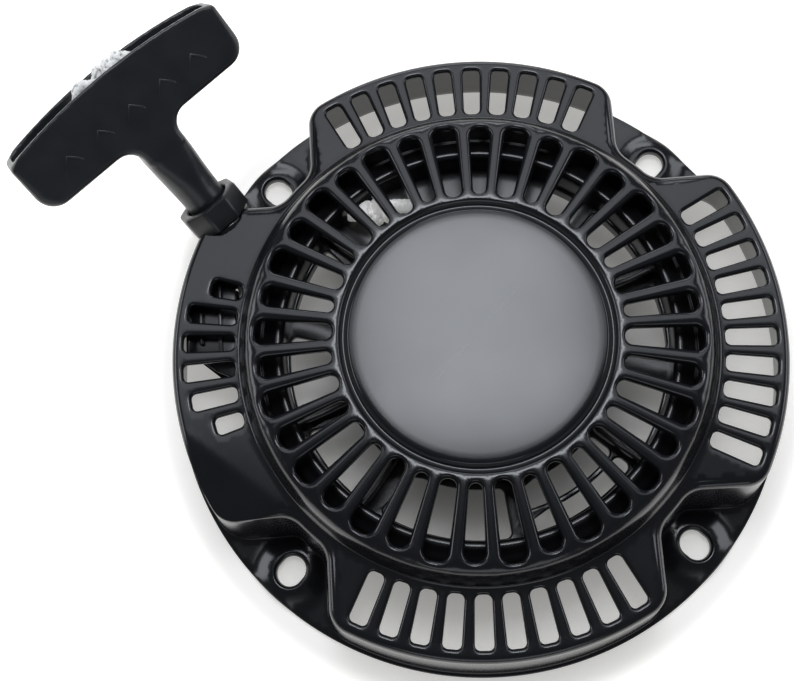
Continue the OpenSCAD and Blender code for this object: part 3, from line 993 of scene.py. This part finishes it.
def make_reel():
    """Reel rim, pierced web, hub and ribs with softened edges."""
    rim = rounded([
        (57.2, 12.6), (57.2, 29.0), (57.5, 30.3), (58.4, 31.0), (59.7, 30.9), (61.4, 29.4), (63.3, 28.6),
        (64.5, 26.6), (69.5, 26.1), (70, 25.5), (69.5, 24.9),
        (59.4, 24.9), (59.4, 15.7), (69.5, 15.7), (70, 15), (69.5, 14.3), (59.4, 14.3), (59.4, 12.6),
    ], 0.6, 3)
    hub = rounded([
        (39.4, WEB_LOW), (39.6, 33.0), (36.8, 33.0), (36.8, WEB_TOP), (9.0, WEB_TOP), (9.0, 12.0),
        (12.0, 12.0), (12.0, WEB_LOW),
    ], 0.6, 3)
    parts = [revolve("reel_rim", rim, 240, closed=True), revolve("reel_hub", hub, 180, closed=True)]
    sheet = Sheet()
    outer = circle(57.6, 360)
    holes = [circle(39.0, 360)]
    for window in WEB_WINDOWS:
        rims = [window_outline(*window, 1.8, g) for g in (0.6, 0.3, 0.08, 0.0, 0.0, 0.08, 0.3, 0.6)]
        depths = (0.0, 0.08, 0.3, 0.6, 2.2, 2.5, 2.72, 2.8)
        loops = [sheet.add([(x, y, WEB_TOP - d) for x, y in ring]) for ring, d in zip(rims, depths)]
        for a, b in zip(loops, loops[1:]):
            sheet.bridge(a, b)
        holes.append(rims[0])
    triangulate(sheet, outer, holes, [], lambda x, y: WEB_TOP)
    triangulate(sheet, outer, holes, [], lambda x, y: WEB_LOW)
    web = new_object("reel_web", sheet.verts, sheet.faces)
    merge_doubles(web, 0.005)
    parts.append(web)
    for turn in WEB_RIBS:
        a = math.radians(turn)
        profile = [(39.2, 20.2), (39.2, 31.5), (43, 26.5), (50, 25.0), (57.4, 26.0), (57.4, 20.2)]
        c, s = math.cos(a), math.sin(a)
        verts = []
        for side in (-0.8, 0.8):
            verts += [(r * c - side * s, r * s + side * c, z) for r, z in profile]
        k = len(profile)
        faces = [tuple(range(k)), tuple(reversed(range(k, 2 * k)))]
        faces += [(i, (i + 1) % k, k + (i + 1) % k, k + i) for i in range(k)]
        rib = new_object("reel_rib", verts, faces, smooth=False)
        merge_doubles(rib, 0.001)
        modifier(rib, "BEVEL", width=0.35 * MM, segments=2)
        apply_modifiers(rib)
        parts.append(rib)
    return place(join(parts, "reel_moulding"), "reel_unit", "reel_plastic", "reel")


def join(parts, name, split_deg=40):
    """One object from several, with edges sharper than split_deg kept crisp."""
    bm = bmesh.new()
    for part in parts:
        bm.from_mesh(part.data)
        mesh = part.data
        bpy.data.objects.remove(part)
        bpy.data.meshes.remove(mesh)
    mesh = bpy.data.meshes.new(name)
    bm.to_mesh(mesh)
    bm.free()
    mesh.polygons.foreach_set("use_smooth", [True] * len(mesh.polygons))
    obj = bpy.data.objects.new(name, mesh)
    bpy.context.collection.objects.link(obj)
    modifier(obj, "EDGE_SPLIT", split_angle=math.radians(split_deg))
    apply_modifiers(obj)
    return obj


# ---------------------------------------------------------------- handle
GRIP_BACK = 49.6
GRIP_FRONT = 27.6
GRIP_BOW = 182.0
END_R = 6.5
BACK_R = 1.8
NECK_R = 5.5
NECK_HALF = 6.9


def grip_outline(inset):
    """Outline of the grip in its own plane: across and along the rope, moved inwards by inset."""
    edge_z = GRIP_BACK - GRIP_BOW + math.sqrt(GRIP_BOW ** 2 - (GRIP_LEN / 2) ** 2)
    lean = math.asin(GRIP_LEN / 2 / GRIP_BOW)
    right = arc((GRIP_LEN / 2 - END_R, GRIP_FRONT + END_R), END_R - inset, -math.pi / 2, 0, 10, True)
    right += arc((GRIP_LEN / 2 - BACK_R, edge_z - BACK_R), max(0.05, BACK_R - inset * 0.5), 0,
                 math.pi / 2 - lean, 6, True)
    back = []
    reach = math.asin((GRIP_LEN / 2 - BACK_R) / GRIP_BOW)
    for i in range(1, 32):
        a = math.pi / 2 - reach * (1 - i / 16)
        back.append((GRIP_BOW * math.cos(a), GRIP_BACK - GRIP_BOW + GRIP_BOW * math.sin(a)))
    left = [(-x, z) for x, z in reversed(right)]
    neck_l = arc((-NECK_HALF - NECK_R, GRIP_FRONT - NECK_R), NECK_R + inset, math.pi / 2, 0, 8, True)
    neck_r = arc((NECK_HALF + NECK_R, GRIP_FRONT - NECK_R), NECK_R + inset, math.pi, math.pi / 2, 8, True)
    return right + back + left + neck_l + [(-NECK_HALF + inset, 20.0), (NECK_HALF - inset, 20.0)] + neck_r


def lofted(name, rows):
    """Closed solid through a stack of rings of the same count."""
    n = len(rows[0])
    verts = [p for ring in rows for p in ring]
    faces = [
        (k * n + i, k * n + (i + 1) % n, (k + 1) * n + (i + 1) % n, (k + 1) * n + i)
        for k in range(len(rows) - 1) for i in range(n)
    ]
    faces += [tuple(reversed(range(n))), tuple(range((len(rows) - 1) * n, len(rows) * n))]
    obj = new_object(name, verts, faces)
    merge_doubles(obj, 0.001)
    return obj


def oval(rx, ry, z, power, count=64):
    """Ring of a superellipse."""
    out = []
    for i in range(count):
        a = 2 * math.pi * i / count
        x = math.copysign(abs(math.cos(a)) ** power, math.cos(a)) * rx
        y = math.copysign(abs(math.sin(a)) ** power, math.sin(a)) * ry
        out.append((x, y, z))
    return out


def make_handle():
    """T grip with a bowed, hollow back and a round stem, blended into one moulding."""
    half = GRIP_THICK / 2
    section = [(2.4, half), (1.5, half - 0.1), (0.85, half - 0.45), (0.4, half - 0.95), (0.12, half - 1.7),
               (0, half - 2.8)]
    section = [(i, -y) for i, y in section] + list(reversed(section))
    plate = lofted("grip", [[(x, y, z) for x, z in grip_outline(inset)] for inset, y in section])
    modifier(plate, "TRIANGULATE")
    stem = lofted("grip_stem", [
        oval(5.5, 5.5, -5.6, 1), oval(6.1, 6.1, -5.2, 1), oval(6.3, 6.3, -4.4, 1), oval(6.45, 6.45, 4, 1),
        oval(6.6, 6.65, 8, 0.88), oval(6.75, 6.9, 11, 0.75), oval(6.9, 7.15, 14, 0.62),
        oval(7.0, 7.4, 17, 0.5), oval(7.05, 7.58, 20, 0.42), oval(7.05, 7.6, 23, 0.42),
        oval(6.9, 7.4, 28, 0.42), oval(6.6, 7.0, 34, 0.5),
    ])
    hollow = lofted("grip_hollow", [
        oval(GRIP_LEN / 2 - 3.2, half - 2.7, 41.2, 0.3), oval(GRIP_LEN / 2 - 2.3, half - 1.8, 43.0, 0.28),
        oval(GRIP_LEN / 2 - 2.1, half - 1.5, 52, 0.26),
    ])
    modifier(plate, "BOOLEAN", operation="UNION", object=stem, solver="EXACT")
    modifier(plate, "BOOLEAN", operation="DIFFERENCE", object=hollow, solver="EXACT")
    modifier(plate, "REMESH", mode="VOXEL", voxel_size=0.42 * MM)
    modifier(plate, "SMOOTH", factor=0.5, iterations=5)
    apply_modifiers(plate)
    for tool in (stem, hollow):
        bpy.data.objects.remove(tool)
    plate.data.polygons.foreach_set("use_smooth", [True] * len(plate.data.polygons))
    parts = [plate, *grip_marks(), *grip_fins()]
    return place(on_outlet(join(parts, "grip_moulding", 60)), "pull", "grip_plastic", "handle")


def grip_marks():
    """Row of small raised chevrons on the face, pointing the way the grip is pulled."""
    marks = []
    for i in range(5):
        x, z = (i - 2) * 11.5, 37.0
        y = -GRIP_THICK / 2 + 0.05
        outline = [(-3.2, -1.6), (0, 1.6), (3.2, -1.6), (3.2, -2.5), (0, 0.7), (-3.2, -2.5)]
        rows = []
        for drop, shrink in ((-0.4, 1.0), (0.12, 1.0), (0.2, 0.93)):
            rows.append([(x + u * shrink, y - drop, z + (w + 0.4) * shrink - 0.4) for u, w in outline])
        marks.append(lofted("grip_mark", rows))
    return marks


def grip_fins():
    """Low ribs across the hollow of the grip, clear of the knot."""
    fins = []
    for x in (-27, -20.5, -14, 14, 20.5, 27):
        top = 46.4 - abs(x) * 0.07
        w, t = 0.6, GRIP_THICK / 2 - 1.8
        rows = [[(x - w, -t, z), (x + w, -t, z), (x + w, t, z), (x - w, t, z)] for z in (40.6, top)]
        fins.append(lofted("grip_fin", rows))
    return fins


# ---------------------------------------------------------------- light and floor
def area_light(name, place_mm, aim_mm, size, radiance):
    """Rectangular soft light of a given radiance, aimed at a point."""
    data = bpy.data.lights.new(name, "AREA")
    data.shape = "RECTANGLE"
    data.size, data.size_y = size[0] * MM, size[1] * MM
    data.energy = radiance * math.pi * data.size * data.size_y
    data.color = LIGHT_TINT
    obj = bpy.data.objects.new(name, data)
    at, aim = Vector(place_mm) * MM, Vector(aim_mm) * MM
    obj.matrix_world = Matrix.Translation(at) @ (aim - at).to_track_quat("-Z", "Y").to_matrix().to_4x4()
    bpy.context.collection.objects.link(obj)


LIGHT_TINT = (0.93, 0.965, 1.03)
FLOOR_HALF = 2500
FLOOR_Z = -0.3


def make_stage():
    """Pale table with a painted glow in its surface, a soft box above the top half and a dimmer ceiling round
    it.
    """
    corners = [(x * FLOOR_HALF, y * FLOOR_HALF, FLOOR_Z) for x, y in ((-1, -1), (1, -1), (1, 1), (-1, 1))]
    floor = new_object("floor", corners, [(0, 1, 2, 3)])
    pale = make_material("floor_pale", (0.82, 0.80, 0.76), (0.86, 0.84, 0.80), (0.6, 0.8),
                         bump=(35, 0.0), fine=300, fine_height=0.0, spec=0.2)
    nodes, links = pale.node_tree.nodes, pale.node_tree.links
    painted_glow = nodes["Principled BSDF"].inputs
    painted_glow["Emission Color"].default_value = (1, 0.99, 0.96, 1)
    here = nodes.new("ShaderNodeNewGeometry")
    reach = nodes.new("ShaderNodeVectorMath")
    reach.operation = "LENGTH"
    links.new(here.outputs["Position"], reach.inputs[0])
    total = nodes.new("ShaderNodeMath")
    # Painted light and shade in the floor's glow: it rises from dim under the housing to brighter at the
    # flange, painted shade for the housing's shadow on the table; a further even glow beyond the flange
    # washes out the cast shadows
    for slot_no, (near, far, low, high) in enumerate(((36, 97, 0.04, 0.42), (99, 108, 0.0, 0.5))):
        painted_floor_glow = nodes.new("ShaderNodeMapRange")
        painted_floor_glow.interpolation_type = "SMOOTHSTEP"
        span = {"From Min": near * MM, "From Max": far * MM, "To Min": low, "To Max": high}
        for socket, value in span.items():
            painted_floor_glow.inputs[socket].default_value = value
        links.new(reach.outputs["Value"], painted_floor_glow.inputs["Value"])
        links.new(painted_floor_glow.outputs["Result"], total.inputs[slot_no])
    links.new(total.outputs["Value"], painted_glow["Emission Strength"])
    floor.data.materials.append(pale)
    world = bpy.data.worlds.new("studio")
    bpy.context.scene.world = world
    world.use_nodes = True
    background = world.node_tree.nodes["Background"].inputs
    background["Color"].default_value = (*LIGHT_TINT, 1)
    background["Strength"].default_value = 0.1
    area_light("softbox", (10, 187, 760), (10, 187, 0), (221, 236), 6.6)
    area_light("softbox_low", (10, 105, 759), (10, 105, 0), (221, 72), 3.2)
    area_light("softbox_high", (10, 255, 759), (10, 255, 0), (221, 100), 1.6)
    area_light("ceiling", (0, 540, 800), (0, 540, 0), (1100, 880), 1.5)
    for name, x, y, radiance in (("side_left", -900, 200, 3.6), ("side_right", 900, 200, 3.0),
                                 ("side_back", 0, 1100, 3.6), ("side_front", 0, -900, 1.3)):
        area_light(name, (x, y, 380), (0, 0, 0), (700, 300), radiance)
    bpy.context.scene.view_settings.view_transform = "Standard"


# ---------------------------------------------------------------- build
paint_frame()
make_housing()
make_boss()
make_bush()
make_bracket()
make_ropes()
make_reel()
make_handle()
make_stage()
